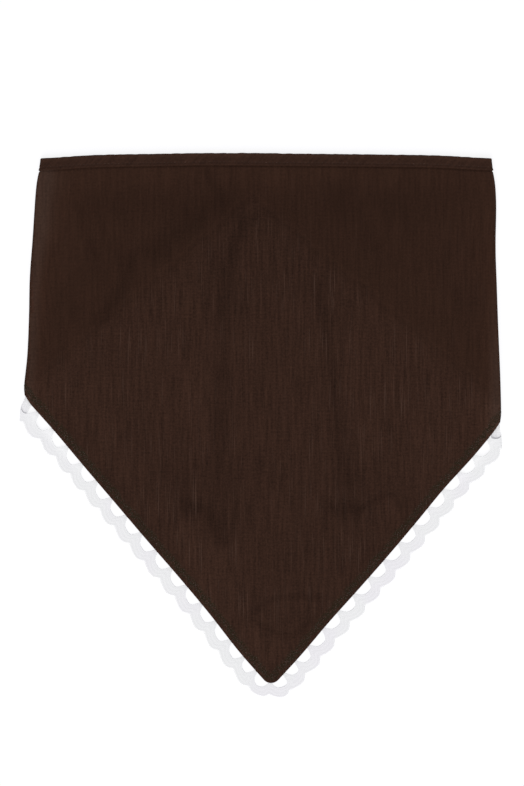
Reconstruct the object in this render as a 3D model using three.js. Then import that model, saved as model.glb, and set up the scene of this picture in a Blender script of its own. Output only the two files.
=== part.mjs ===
import * as THREE from "three";
import { mergeVertices } from "three/addons/utils/BufferGeometryUtils.js";

// A triangular neckerchief lying flat with both side corners folded behind, in millimetres, +Z up.
// Each piece is drawn flat, as it is cut: u runs right along the top edge from its middle, v runs
// down from the top edge. Then it is laid on z = 0 with its good side up. The origin is the middle
// of the underside of the whole folded thing.

// Cloth as it is cut
const topEdge = 720;
const depth = 422;
const pointShift = -3.5;
const pointRadius = 7.5;
const clothWall = 1;
const cornerCut = 5;

// Side folds: the two corners come to lie behind the middle of the top edge
const cornersMeetAt = -14.6;
const cornersApart = 8.8;
const leftLean = 3.57;
const rightLean = 1.38;

// Tape bound over the top edge
const tapeHeight = 8.5;
const tapeWall = 1;

// Scalloped lace sewn behind the hem
const laceWall = 1;
const laceTuck = 5;
const notchReach = 12.7;
const bulgeReach = 15.8;
const scallopPitch = 18.3;
const eyeletStart = -0.3;
const eyeletReach = 6.6;
// Round the point of the cloth the lace is drawn in by a share, and a notch lies at a share of the turn
const pointDrawIn = 0.26;
const pointNotch = 0.45;

// Clear space between layers that touch on the real one
const layerGap = 0.35;

// How it lies
const topBow = 4.2;
const topBowRun = 150;
const sideStray = 1.6;
const sideStrayRun = 70;
const foldPinch = 2.4;
const foldPinchRun = 13;
const foldPinchReach = 34;
const settleRun = 95;
const tapeRiseRun = 95;
const swellHeight = 4;
const swellStart = 10;
const swellFull = 62;

// How far each side strays outwards of its straight line, at even steps from its first end to its
// last, as shares of the bow of the top edge or of the largest stray of the other sides.
const strays = {
  top: [0, 0.62, 0.84, 1, 0.93, 0.84, 0.72, 0.54, 0],
  leftFold: [0, 0.2, 0.25, 0.45, -0.4, -0.85, 0],
  rightFold: [0, 0.5, -0.3, -0.12, 0, 0.12, 0],
  leftLower: [0.3, -0.25, -0.12, -0.2, -0.3, -0.6, -0.45, 0.45, 0],
  rightLower: [0.25, 0.5, 0.06, 0.75, 1, 0.8, 0.15, -0.15, 0],
};

// Soft creases in the swelling front: both ends as shares of half the top edge (x) and of the
// depth (y), the width as a share of the depth, and how much of the swell the crease takes away.
const creases = [
  { x0: -0.06, y0: 0.14, x1: -0.11, y1: 0.25, width: 0.03, share: 0.6 },
  { x0: -0.11, y0: 0.25, x1: -0.12, y1: 0.62, width: 0.034, share: 0.8 },
  { x0: -0.12, y0: 0.62, x1: -0.11, y1: 0.74, width: 0.045, share: 0.85 },
  { x0: 0.09, y0: 0.25, x1: 0.14, y1: 0.46, width: 0.03, share: 0.6 },
  { x0: 0.14, y0: 0.46, x1: 0.16, y1: 0.67, width: 0.038, share: 0.85 },
  { x0: -0.22, y0: 0.64, x1: -0.15, y1: 0.65, width: 0.03, share: 0.6 },
  { x0: 0.2, y0: 0.645, x1: 0.29, y1: 0.67, width: 0.028, share: 0.5 },
  { x0: -0.05, y0: 0.865, x1: 0, y1: 0.83, width: 0.026, share: 0.6 },
  { x0: 0, y0: 0.83, x1: 0.12, y1: 0.825, width: 0.026, share: 0.6 },
  { x0: -0.42, y0: 0.15, x1: -0.37, y1: 0.27, width: 0.03, share: 0.5 },
  { x0: 0.25, y0: 0.12, x1: 0.35, y1: 0.3, width: 0.05, share: 0.5 },
];

// One scallop of the lace: place along the pitch, and how far the eyelet and the outer edge reach,
// as shares of the eyelet's depth and of the bulge beyond the notch.
const scallop = [
  { along: 0, eyelet: 0, bulge: 0 },
  { along: 0.12, eyelet: 0, bulge: 0.15 },
  { along: 0.32, eyelet: 0.8, bulge: 0.62 },
  { along: 0.5, eyelet: 1, bulge: 0.93 },
  { along: 0.68, eyelet: 0.84, bulge: 0.95 },
  { along: 0.88, eyelet: 0, bulge: 0.28 },
];

// Mesh steps
const foldSteps = 6;
const wingSteps = 8;
const frontSteps = 16;
const pointSteps = 5;
const rowSteps = 12;

const halfTop = topEdge / 2;
const { degToRad, clamp, smoothstep: smooth } = THREE.MathUtils;

// The stack where the cloth lies double: wing, its lace, the front's lace, front
const laceOffset = -(clothWall + laceWall) / 2 - layerGap;
const foldRadius = (clothWall + layerGap) / 2 + laceWall + layerGap;
const foldOuter = foldRadius + clothWall / 2;
const wingHeight = clothWall / 2;
const foldAxisHeight = wingHeight + foldRadius;
const frontHeight = wingHeight + 2 * foldRadius;
const singleHeight = laceWall + layerGap + clothWall / 2;
const tapeRise = layerGap + tapeWall;

// A point of the flat pattern
const at = (u, v) => new THREE.Vector2(u, v);

const sharpPoint = at(pointShift, depth);
const leftCorner = at(-halfTop, 0);
const rightCorner = at(halfTop, 0);

// The two lower edges, each running from its corner to the point
function lowerEdge(corner) {
  const along = sharpPoint.clone().sub(corner);
  const length = along.length();
  along.normalize();
  const out = at(-along.y, along.x).multiplyScalar(Math.sign(corner.x) * -1);
  return { corner, along, out, length };
}
const leftEdge = lowerEdge(leftCorner);
const rightEdge = lowerEdge(rightCorner);

// The rounding of the point
const halfPointAngle = leftEdge.along.angleTo(rightEdge.along) / 2;
const pointSetback = pointRadius / Math.tan(halfPointAngle);
const pointCentre = sharpPoint
  .clone()
  .addScaledVector(leftEdge.along, -pointSetback)
  .addScaledVector(leftEdge.out, -pointRadius);
const pointTurn = Math.PI - 2 * halfPointAngle;
const pointFrom = Math.atan2(leftEdge.out.x, leftEdge.out.y);

// A side fold: a straight line that leans outwards going down. Cloth past its start runs round an
// arc and comes back underneath.
function sideFold(side, lean) {
  const reach = (halfTop + side * cornersMeetAt + cornersApart / 2) / 2;
  const top = at(side * reach, 0);
  const down = at(side * Math.sin(lean), Math.cos(lean));
  const out = at(side * Math.cos(lean), -Math.sin(lean));
  return { side, top, down, out };
}
const leftFold = sideFold(-1, degToRad(leftLean));
const rightFold = sideFold(1, degToRad(rightLean));

// How far a flat point lies past the start of a fold's arc
const pastFold = (fold, point) => point.clone().sub(fold.top).dot(fold.out) + foldOuter;
const nearerFold = (point) => (point.x < cornersMeetAt ? leftFold : rightFold);

// A flat point folded over: its place seen from the front, its height for a given offset to the
// good side, and its share of the front's own movements
function fold(point, offset) {
  const line = nearerFold(point);
  const past = pastFold(line, point);
  if (past <= 0) return { seen: point.clone(), height: frontHeight + offset, front: 1 };
  const along = point.clone().sub(line.top).dot(line.down);
  const turn = Math.min(past / foldRadius, Math.PI);
  const beyond = Math.max(past - Math.PI * foldRadius, 0);
  const across = (foldRadius + offset) * Math.sin(turn) - foldOuter - beyond;
  const seen = line.top.clone().addScaledVector(line.down, along).addScaledVector(line.out, across);
  const height = foldAxisHeight + (foldRadius + offset) * Math.cos(turn);
  return { seen, height, front: (1 + Math.cos(turn)) / 2 };
}

// The lower edge of a folded wing, with the lace beyond it, as seen from the front
function wingLimit(edge, line) {
  const corner = fold(edge.corner, 0).seen;
  const out = edge.out.clone().addScaledVector(line.out, -2 * edge.out.dot(line.out));
  return { corner: corner.addScaledVector(out, bulgeReach), out };
}
const wingLimits = [wingLimit(leftEdge, leftFold), wingLimit(rightEdge, rightFold)];
const beyondLimit = (limit, point) => point.clone().sub(limit.corner).dot(limit.out);

// How far the front has settled onto the table, from 0 over the wings to 1 where it lies single
const settled = (point) =>
  smooth(Math.min(...wingLimits.map((limit) => beyondLimit(limit, point))), 0, settleRun);

function distanceToCrease(point, crease) {
  const from = at(crease.x0 * halfTop, crease.y0 * depth);
  const run = at(crease.x1 * halfTop, crease.y1 * depth).sub(from);
  const share = clamp(point.clone().sub(from).dot(run) / run.lengthSq(), 0, 1);
  return point.distanceTo(from.addScaledVector(run, share));
}

// How high the front stands off what it lies on: it swells away from its edges, less each crease
function swell(point) {
  const edges = [leftEdge, rightEdge].map((edge) => -point.clone().sub(edge.corner).dot(edge.out));
  const folds = [leftFold, rightFold].map((line) => -pastFold(line, point));
  let height = swellHeight;
  for (const inside of [point.y - tapeHeight, ...edges, ...folds]) {
    height *= smooth(inside, swellStart, swellFull);
  }
  for (const crease of creases) {
    const ratio = distanceToCrease(point, crease) / (crease.width * depth);
    height *= 1 - crease.share * Math.exp(-ratio * ratio);
  }
  return height;
}

// The five sides as seen, each from its first end to its last, with its strays as a smooth curve
function seenSide(from, to, out, shares, stray, run) {
  const curve = new THREE.SplineCurve(shares.map((share, index) => at(index, share * stray)));
  return { from, along: to.clone().sub(from), out, curve, run };
}
function foldFoot(line, edge) {
  const reach = edge.corner.clone().sub(line.top).dot(edge.out) / line.down.dot(edge.out);
  return line.top.clone().addScaledVector(line.down, reach);
}
const leftFoot = foldFoot(leftFold, leftEdge);
const rightFoot = foldFoot(rightFold, rightEdge);
const seenSides = [
  seenSide(leftFold.top, rightFold.top, at(0, -1), strays.top, topBow, topBowRun),
  seenSide(leftFold.top, leftFoot, leftFold.out, strays.leftFold, sideStray, sideStrayRun),
  seenSide(rightFold.top, rightFoot, rightFold.out, strays.rightFold, sideStray, sideStrayRun),
  seenSide(leftFoot, sharpPoint, leftEdge.out, strays.leftLower, sideStray, sideStrayRun),
  seenSide(rightFoot, sharpPoint, rightEdge.out, strays.rightLower, sideStray, sideStrayRun),
];

// How far the cloth has strayed from its straight outline at a seen point
function strayAt(point) {
  const moved = at(0, 0);
  for (const { from, along, out, curve, run } of seenSides) {
    const away = point.clone().sub(from);
    const share = clamp(away.dot(along) / along.lengthSq(), 0, 1);
    const near = 1 - smooth(-away.dot(out), 0, run);
    moved.addScaledVector(out, curve.getPoint(share).y * near);
  }
  return moved;
}

// The tape pulls the cloth in where it turns over at the side folds
function pinchAt(point) {
  const middle = (leftFold.top.x + rightFold.top.x) / 2;
  const halfWidth = (rightFold.top.x - leftFold.top.x) / 2;
  const aside = point.x - middle;
  const nearSide = smooth(Math.abs(aside), halfWidth - foldPinchReach, halfWidth);
  return foldPinch * nearSide * Math.exp(-((point.y / foldPinchRun) ** 2)) * Math.sign(aside);
}

// The tape under the wings lifts everything above it, down to its lowest corner
const tapeLow = Math.max(fold(leftCorner, 0).seen.y, fold(rightCorner, 0).seen.y) + tapeHeight;

// Where a flat point comes to lie
function lay(point, offset) {
  const { seen, height, front } = fold(point, offset);
  const drop = (frontHeight - singleHeight) * settled(seen);
  const rise = tapeRise * (1 - smooth(seen.y, tapeLow, tapeLow + tapeRiseRun));
  const moved = strayAt(seen);
  const z = height + rise + front * (swell(seen) - drop);
  return new THREE.Vector3(seen.x + moved.x - pinchAt(seen), -seen.y - moved.y, z);
}

// The finished lower edge at a given u, with the rounded point
function lowerEdgeAt(u) {
  const dx = u - pointCentre.x;
  const leftEnd = pointCentre.x + pointRadius * leftEdge.out.x;
  const rightEnd = pointCentre.x + pointRadius * rightEdge.out.x;
  if (u > leftEnd && u < rightEnd) return at(u, pointCentre.y + Math.sqrt(pointRadius ** 2 - dx ** 2));
  const edge = dx < 0 ? leftEdge : rightEdge;
  return edge.corner.clone().addScaledVector(edge.along, (u - edge.corner.x) / edge.along.x);
}

// Where a line from the top edge, running down beside a fold, meets the lower edge
function wingColumn(line, edge, past) {
  const top = line.top.clone();
  top.x += (line.side * (past - foldOuter)) / line.down.y;
  return { top, bottom: foldFoot({ top, down: line.down }, edge) };
}

// The columns of cloth from corner to corner, each a straight line from top edge to lower edge
function clothColumns() {
  const arc = Math.PI * foldRadius;
  const side = (line, edge) => {
    const corner = at(line.side * (halfTop - cornerCut), 0);
    const last = pastFold(line, corner);
    const pasts = [];
    for (let step = 0; step < foldSteps; step += 1) pasts.push((arc * step) / foldSteps);
    for (let step = 0; step <= wingSteps; step += 1) pasts.push(arc + ((last - arc) * step) / wingSteps);
    return pasts.map((past) => wingColumn(line, edge, past));
  };
  const left = side(leftFold, leftEdge);
  const right = side(rightFold, rightEdge);
  const start = left[0];
  const end = right[0];
  const arcStart = pointCentre.x + pointRadius * leftEdge.out.x;
  const arcEnd = pointCentre.x + pointRadius * rightEdge.out.x;
  const stops = [];
  const spread = (from, to, steps) => {
    for (let step = 0; step < steps; step += 1) stops.push(from + ((to - from) * step) / steps);
  };
  spread(start.bottom.x, arcStart, frontSteps);
  spread(arcStart, arcEnd, pointSteps);
  spread(arcEnd, end.bottom.x, frontSteps);
  const front = stops.slice(1).map((u) => {
    const share = (u - start.bottom.x) / (end.bottom.x - start.bottom.x);
    return { top: start.top.clone().lerp(end.top, share), bottom: lowerEdgeAt(u) };
  });
  return [...left.reverse(), ...front, ...right];
}
const columns = clothColumns();

// Flat triangles between two lists of flat points that run side by side
function strip(upper, lower) {
  const triangles = [];
  for (let step = 0; step + 1 < upper.length; step += 1) {
    const [a, b, c, d] = [upper[step], upper[step + 1], lower[step + 1], lower[step]];
    triangles.push([a, d, c], [a, c, b]);
  }
  return triangles;
}

// Cuts flat triangles along a line, given as a signed distance, so that a fold can run there
function splitAlong(triangles, distance) {
  const nearly = 1e-4;
  const parts = [];
  for (const triangle of triangles) {
    for (const keep of [1, -1]) {
      const outline = [];
      triangle.forEach((from, index) => {
        const to = triangle[(index + 1) % 3];
        const here = distance(from) * keep;
        const there = distance(to) * keep;
        if (here > -nearly) outline.push(from);
        const crosses = Math.min(here, there) < -nearly && Math.max(here, there) > nearly;
        if (crosses) outline.push(from.clone().lerp(to, here / (here - there)));
      });
      const inside = outline.some((point) => distance(point) * keep > nearly);
      if (!inside) continue;
      for (let step = 1; step + 1 < outline.length; step += 1) {
        parts.push([outline[0], outline[step], outline[step + 1]]);
      }
    }
  }
  return parts;
}

function toGeometry(triangles) {
  const soup = new THREE.BufferGeometry();
  const positions = triangles.flat().flatMap((point) => point.toArray());
  soup.setAttribute("position", new THREE.Float32BufferAttribute(positions, 3));
  const geometry = mergeVertices(soup, 1e-4);
  geometry.computeVertexNormals();
  return geometry;
}

// A closed sheet from flat triangles, laid at an offset from the middle of the cloth
function sheet(triangles, offset, wall) {
  const top = (point) => lay(point, offset + wall / 2);
  const under = (point) => lay(point, offset - wall / 2);
  const name = (point) => `${point.x.toFixed(4)} ${point.y.toFixed(4)}`;
  const edges = new Map();
  const faces = [];
  for (const [a, b, c] of triangles) {
    faces.push([top(a), top(b), top(c)], [under(c), under(b), under(a)]);
    for (const [from, to] of [[a, b], [b, c], [c, a]]) {
      const back = `${name(to)} ${name(from)}`;
      if (!edges.delete(back)) edges.set(`${name(from)} ${name(to)}`, [from, to]);
    }
  }
  for (const [from, to] of edges.values()) {
    faces.push([under(from), under(to), top(to)], [under(from), top(to), top(from)]);
  }
  return toGeometry(faces);
}

// The cloth: rows from the top edge to the hem, the last row as wide as the tucked lace
function clothGeometry() {
  const rows = [];
  for (let row = 0; row <= rowSteps; row += 1) {
    rows.push(
      columns.map(({ top, bottom }) => {
        const length = top.distanceTo(bottom);
        const band = Math.min(laceTuck * 2, length / 2);
        const share = row < rowSteps ? ((length - band) * row) / (rowSteps - 1) / length : 1;
        return top.clone().lerp(bottom, share);
      }),
    );
  }
  const triangles = rows.slice(1).flatMap((row, index) => strip(rows[index], row));
  return sheet(triangles, 0, clothWall);
}

// The tape: a U over the top edge, carried along every column of the cloth
function tapeGeometry() {
  const inner = clothWall / 2 + layerGap;
  const outer = inner + tapeWall;
  const section = [
    at(tapeHeight, outer),
    at(-layerGap, outer),
    at(-layerGap - tapeWall, inner),
    at(-layerGap - tapeWall, -inner),
    at(-layerGap, -outer),
    at(tapeHeight, -outer),
    at(tapeHeight, -inner),
    at(-layerGap, -inner),
    at(-layerGap, inner),
    at(tapeHeight, inner),
  ];
  const rings = columns.map(({ top, bottom }) => {
    const down = bottom.clone().sub(top).normalize();
    return section.map(({ x, y }) => lay(top.clone().addScaledVector(down, x), y));
  });
  const faces = [];
  for (let step = 0; step + 1 < rings.length; step += 1) {
    section.forEach((_, index) => {
      const next = (index + 1) % section.length;
      const [a, b] = [rings[step][index], rings[step][next]];
      const [c, d] = [rings[step + 1][next], rings[step + 1][index]];
      faces.push([a, c, b], [a, d, c]);
    });
  }
  const first = rings[0];
  const last = rings[rings.length - 1];
  for (const [i, j, k] of THREE.ShapeUtils.triangulateShape(section, [])) {
    const [a, b, c] = THREE.ShapeUtils.area(section) < 0 ? [i, k, j] : [i, j, k];
    faces.push([first[a], first[b], first[c]], [last[c], last[b], last[a]]);
  }
  return toGeometry(faces);
}

// A flat point of the lace: along from the notch below the point of the cloth, and out from the hem
function lacePoint(along, out) {
  const turnLength = (pointRadius + notchReach) * pointTurn;
  const past = along + turnLength * pointNotch;
  if (past >= 0 && past <= turnLength) {
    const turn = pointFrom + (past / turnLength) * pointTurn;
    const reach = pointRadius + out * (1 - pointDrawIn * Math.sin((past / turnLength) * Math.PI));
    return pointCentre.clone().add(at(Math.sin(turn), Math.cos(turn)).multiplyScalar(reach));
  }
  const edge = past < 0 ? leftEdge : rightEdge;
  const away = past < 0 ? -past : past - turnLength;
  return edge.corner
    .clone()
    .addScaledVector(edge.along, edge.length - pointSetback - away)
    .addScaledVector(edge.out, out);
}

// Where the lace stops, measured from a corner: clear of the tape and of the other wing's lace
function laceEnd(edge) {
  const rise = Math.abs(edge.along.y);
  const run = Math.abs(edge.along.x);
  const clearOfTape = (tapeHeight + layerGap + laceTuck * run) / rise;
  const clearOfLace = (bulgeReach * rise + layerGap) / run;
  return Math.max(clearOfTape, clearOfLace);
}

function laceGeometry() {
  const turnLength = (pointRadius + notchReach) * pointTurn;
  const leftRun = leftEdge.length - pointSetback - laceEnd(leftEdge) + turnLength * pointNotch;
  const rightRun = rightEdge.length - pointSetback - laceEnd(rightEdge) + turnLength * (1 - pointNotch);
  const stations = [];
  const addScallops = (run, sign) => {
    const count = Math.round(run / scallopPitch);
    const pitch = run / count;
    for (let copy = 0; copy < count; copy += 1) {
      const start = sign < 0 ? (copy - count) * pitch : copy * pitch;
      for (const { along, eyelet, bulge } of scallop) {
        stations.push({ along: start + along * pitch, eyelet, bulge });
      }
    }
  };
  addScallops(leftRun, -1);
  addScallops(rightRun, 1);
  stations.push({ along: rightRun, eyelet: 0, bulge: 0 });
  const line = (reach) => stations.map((station) => lacePoint(station.along, reach(station)));
  const heading = line(() => -laceTuck);
  const eyeletTop = line(() => eyeletStart);
  const eyeletFoot = line(({ eyelet }) => eyeletStart + (eyeletReach - eyeletStart) * eyelet);
  const border = line(({ bulge }) => notchReach + (bulgeReach - notchReach) * bulge);
  let triangles = [...strip(heading, eyeletTop), ...strip(eyeletFoot, border)];
  for (const line of [leftFold, rightFold]) {
    for (let step = 0; step <= foldSteps; step += 1) {
      const arc = (Math.PI * foldRadius * step) / foldSteps;
      triangles = splitAlong(triangles, (point) => pastFold(line, point) - arc);
    }
  }
  return sheet(triangles, laceOffset, laceWall);
}

const cottonBrown = new THREE.MeshStandardMaterial({ color: "#33221b", roughness: 0.9, metalness: 0 });
const tapeBrown = new THREE.MeshStandardMaterial({ color: "#34241d", roughness: 0.85, metalness: 0 });
const laceWhite = new THREE.MeshStandardMaterial({ color: "#ebecef", roughness: 0.8, metalness: 0 });

function piece(name, geometry, material) {
  const mesh = new THREE.Mesh(geometry, material);
  mesh.name = name;
  return mesh;
}

const neckerchief = new THREE.Group();
neckerchief.add(piece("kerchief_cloth", clothGeometry(), cottonBrown));
neckerchief.add(piece("top_binding", tapeGeometry(), tapeBrown));
neckerchief.add(piece("lace_edging", laceGeometry(), laceWhite));

// The origin goes to the middle of the underside
const extent = new THREE.Box3().setFromObject(neckerchief);
const middle = extent.getCenter(new THREE.Vector3());
neckerchief.position.set(-middle.x, -middle.y, -extent.min.z);

export default neckerchief;
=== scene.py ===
import math
from collections import namedtuple

import bmesh
import bpy
import numpy as np
from mathutils import Matrix


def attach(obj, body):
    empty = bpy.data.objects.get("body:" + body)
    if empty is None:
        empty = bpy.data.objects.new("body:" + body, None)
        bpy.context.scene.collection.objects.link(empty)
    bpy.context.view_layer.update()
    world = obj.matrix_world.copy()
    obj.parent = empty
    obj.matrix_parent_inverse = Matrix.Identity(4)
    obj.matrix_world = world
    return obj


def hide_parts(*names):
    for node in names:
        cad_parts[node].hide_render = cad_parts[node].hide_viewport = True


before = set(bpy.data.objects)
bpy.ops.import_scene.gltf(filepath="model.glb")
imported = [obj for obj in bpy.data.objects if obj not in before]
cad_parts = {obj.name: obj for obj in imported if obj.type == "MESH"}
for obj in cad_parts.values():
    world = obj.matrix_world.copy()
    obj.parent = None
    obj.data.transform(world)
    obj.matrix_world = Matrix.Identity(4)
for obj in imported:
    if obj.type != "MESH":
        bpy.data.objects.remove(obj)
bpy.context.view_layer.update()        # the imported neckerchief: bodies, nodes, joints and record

# A triangular neckerchief lying flat with both side corners folded behind, in metres, +Z up.
# Each piece is drawn flat, as it is cut: x runs right along the top edge from its middle, y up from
# the top edge. Then it is laid on z = 0 with its good side up, and moved to the frame's origin.
mm = 0.001

# Camera: the photograph looks straight down, and a pixel of its 524 x 786 frame is 0.8 mm
pixel = 0.8 * mm
image_height = 786
image_centre = (0.1 * mm, 25.5 * mm)
lens = 85
sensor = 36

# Light and floor
sky_colour = (0.955, 0.95, 1, 1)
sky_strength = 0.84
key_colour = (1, 0.995, 0.97)
key_strength = 2.35
key_spread = math.radians(50)
key_elevation = math.radians(36)
key_towards = math.radians(-8)
floor_glow = 0.82
floor_reach = 6

# A gentle uneven wave along an edge
Wave = namedtuple("Wave", "height length phase")

# Cloth as it is cut
top_edge = 720 * mm
depth = 422 * mm
point_shift = -3.5 * mm
point_radius = 7.5 * mm
corner_cut = 5 * mm
cloth_wall = 0.4 * mm
hem_wall = 0.8 * mm
hem_width = 5.4 * mm
stitch_inset = 4.6 * mm
hem_rounding = 0.5 * mm
hem_step_run = 0.5 * mm
hem_groove_width = 0.45 * mm
hem_groove_depth = 0.3
hem_pucker = Wave(0.1 * mm, 7.3 * mm, 1.1)

# Side folds: the two corners come to lie behind the middle of the top edge
corners_meet_at = -14.6 * mm
corners_apart = 8.8 * mm
left_lean = math.radians(3.57)
right_lean = math.radians(1.38)
fold_radius = 1.1 * mm

# Tape bound over the top edge
tape_height = 8.5 * mm
tape_crown = 0.35 * mm
tape_wall = 0.45 * mm
tape_stitch_up = 2.2 * mm
tape_back_extra = 0.8 * mm
tape_join = (-30 * mm, 3 * mm)
tape_dip = 0.5 * mm
tape_dip_below = 0.35 * mm
tape_dip_run = 0.8 * mm
tape_rounding = 0.4 * mm
tape_groove_width = 0.5 * mm
tape_groove_depth = 0.85
tape_join_rise = 0.12 * mm
tape_join_crown = 0.1 * mm
tape_plump = Wave(0.1 * mm, 9 * mm, 0.3)
tape_rim = Wave(0.06 * mm, 5.5 * mm, 1.7)
tape_crown_wave = Wave(0.12 * mm, 13 * mm, 2.2)
tape_edge_wave = Wave(0.12 * mm, 17 * mm, 0.9)
tape_rows = (0, 0.014, 0.047, 0.1, 0.17, 0.22, 0.26, 0.3, 0.36, 0.47, 0.65, 0.82)

# Scalloped lace sewn behind the hem
lace_wall = 0.35 * mm
lace_tuck = 5 * mm
notch_reach = 12.7 * mm
bulge_reach = 15.8 * mm
scallop_pitch = 18.3 * mm
eyelet_start = -0.3 * mm
eyelet_reach = 7 * mm
point_draw_in = 0.26
point_notch = 0.45
point_catch_up = 46 * mm
lace_cords = 3
lace_lift = Wave(0.15 * mm, 47 * mm, 0.6)
lace_rim_width = 0.05
lace_limp = (0.5 * mm, 9 * mm)
lace_held_beside_fold = (4 * mm, 25 * mm)
lace_flares = (2.3 * mm, 0.3 * mm)
lace_flare_run = 13 * mm
lace_stretch = 0.053
lace_fold_run = 14 * mm
lace_fold_droop = 0.6 * mm
lace_fold_press = 0.6

# Thread
stitch_pitch = 2.8 * mm
stitch_length = 2.1 * mm
thread_radius = 0.17 * mm

# Clear space between layers that touch
layer_gap = 0.06 * mm

# How it lies
top_bow = 4.2 * mm
top_bow_run = 150 * mm
side_stray = 1.6 * mm
side_stray_run = 70 * mm
fold_pinch = 2.4 * mm
fold_pinch_run = 13 * mm
fold_pinch_reach = 34 * mm
fold_sink = 0.35 * mm
fold_sink_run = 45 * mm
settle_run = 95 * mm
tape_rise_run = 95 * mm
swell_height = 4 * mm
swell_start = 10 * mm
swell_full = 48 * mm
crumple = 0.22 * mm
crease_shoulder = 0.5
crease_fade = 0.14
foot_rounding = (1.4 * mm, 1 * mm)
foot_rounding_run = 6 * mm
painted_fold_light_run = 11 * mm
rest_softness = 0.1 * mm

# How far each side strays outwards of its straight line, at even steps from its first end to its
# last, as shares of the bow of the top edge or of the largest stray of the other sides.
strays = {
    "top": (0, 0.62, 0.84, 1, 0.93, 0.84, 0.72, 0.54, 0),
    "left fold": (0, 0.2, 0.25, 0.45, -0.4, -0.85, 0),
    "right fold": (0, 0.5, -0.3, -0.12, 0, 0.12, 0),
    "left lower": (0.3, -0.25, -0.12, -0.2, -0.3, -0.6, -0.45, 0.45, 0),
    "right lower": (0.7, 1.1, 0.6, 1.1, 1.3, 1.05, 0.6, 0.75, 0.1),
}

# Soft creases of the front: how deep and how wide each is, the share of light that it loses as
# painted shade, and the points of its line, x as a share of half the top edge and y, downwards, of
# the depth. One with a depth below 0 is a low ridge, and one with a shade below 0 gains painted light.
Crease = namedtuple("Crease", "name depth width shade points")
long_left = ((-0.02, 0.094), (-0.072, 0.129), (-0.098, 0.182), (-0.112, 0.265), (-0.12, 0.44),
             (-0.13, 0.66))
long_right = ((0.082, 0.204), (0.104, 0.265), (0.124, 0.35), (0.137, 0.455), (0.151, 0.54),
              (0.162, 0.644))
left_dimple = ((-0.225, 0.645), (-0.167, 0.652), (-0.132, 0.678), (-0.1, 0.735))
left_bump = ((-0.21, 0.68), (-0.18, 0.74), (-0.154, 0.8))
right_arc = ((0.175, 0.665), (0.211, 0.642), (0.244, 0.629), (0.271, 0.638), (0.285, 0.665))
point_arc = ((-0.06, 0.865), (-0.029, 0.838), (0.015, 0.822), (0.066, 0.822), (0.125, 0.824))
point_line = ((-0.06, 0.862), (-0.02, 0.881), (0.035, 0.894), (0.09, 0.855))
wing_left = ((-0.32, 0.165), (-0.334, 0.227), (-0.363, 0.271), (-0.41, 0.315))
upper_left = ((-0.11, 0.07), (-0.167, 0.106), (-0.216, 0.136), (-0.3, 0.19))
creases = (
    Crease("left long", 2.1 * mm, 5.2 * mm, 0.17, long_left),
    Crease("right long", 2.1 * mm, 5.8 * mm, 0.18, long_right),
    Crease("left dimple", 2.8 * mm, 8.5 * mm, 0.16, left_dimple),
    Crease("left bump", -1.4 * mm, 11 * mm, -0.1, left_bump),
    Crease("right dimple", 2.6 * mm, 8 * mm, 0.15, ((0.12, 0.655), (0.16, 0.648), (0.2, 0.66))),
    Crease("right arc", 1.1 * mm, 2.6 * mm, 0.14, right_arc),
    Crease("right low", 0.8 * mm, 6 * mm, 0.1, ((0.13, 0.77), (0.18, 0.75), (0.23, 0.73))),
    Crease("point arc", 1.1 * mm, 3 * mm, 0.15, point_arc),
    Crease("point line", 0.9 * mm, 2.8 * mm, 0.13, point_line),
    Crease("wing left", 1.7 * mm, 5 * mm, 0.15, wing_left),
    Crease("corner left", 1 * mm, 4 * mm, 0.11, ((-0.437, 0.075), (-0.416, 0.136), (-0.39, 0.195))),
    Crease("upper left", 1.8 * mm, 10 * mm, 0.13, upper_left),
    Crease("upper right", 1.2 * mm, 9 * mm, 0.1, ((0.14, 0.035), (0.171, 0.104), (0.23, 0.18))),
    Crease("wing right", 0.9 * mm, 10 * mm, 0.05, ((0.25, 0.05), (0.304, 0.142), (0.317, 0.22))),
    Crease("below tape", 0.9 * mm, 4 * mm, 0.12, ((-0.155, 0.02), (-0.127, 0.06), (-0.095, 0.09))),
    Crease("middle", 0.4 * mm, 9 * mm, 0.06, ((-0.04, 0.1), (0.02, 0.12), (0.07, 0.17))),
    Crease("hem left", -0.8 * mm, 14 * mm, -0.09, ((-0.15, 0.78), (-0.1, 0.86), (-0.04, 0.93))),
    Crease("seam left", -0.5 * mm, 12 * mm, -0.06, ((-0.19, 0.35), (-0.17, 0.5), (-0.165, 0.6))),
    Crease("seam right", -0.5 * mm, 10 * mm, -0.06, ((0.16, 0.33), (0.19, 0.45), (0.2, 0.56))),
)

# Soft areas of painted light and shade on the front: the middle of each and how far it reaches
# across and down, in the same shares, and the share of light that it gains or, below 0, loses
Area = namedtuple("Area", "name middle reach gain")
areas = (
    Area("below tape", (-0.012, 0.05), (0.022, 0.036), 0.1),
    Area("tape left", (-0.345, 0.036), (0.3, 0.034), 0.13),
    Area("tape right", (0.28, 0.033), (0.28, 0.028), 0.06),
    Area("left fold top", (-0.49, 0.11), (0.06, 0.1), 0.17),
    Area("middle", (-0.02, 0.195), (0.24, 0.09), -0.1),
    Area("lower left", (-0.21, 0.615), (0.13, 0.09), -0.09),
    Area("lower right", (0.17, 0.663), (0.1, 0.075), -0.08),
    Area("right foot", (0.43, 0.5), (0.09, 0.06), 0.09),
    Area("above point", (0.0, 0.856), (0.09, 0.034), -0.07),
    Area("point", (-0.007, 0.93), (0.06, 0.028), 0.12),
)

# Where the edges of the hidden corners show through the front, each from its side fold inwards,
# in the same shares. Behind them the front lies double and is painted darker, as less light
# shines through it.
show_through = (((-0.555, 0.432), (-0.114, 0.127)), ((0.5, 0.458), (0.086, 0.174)))

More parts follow.
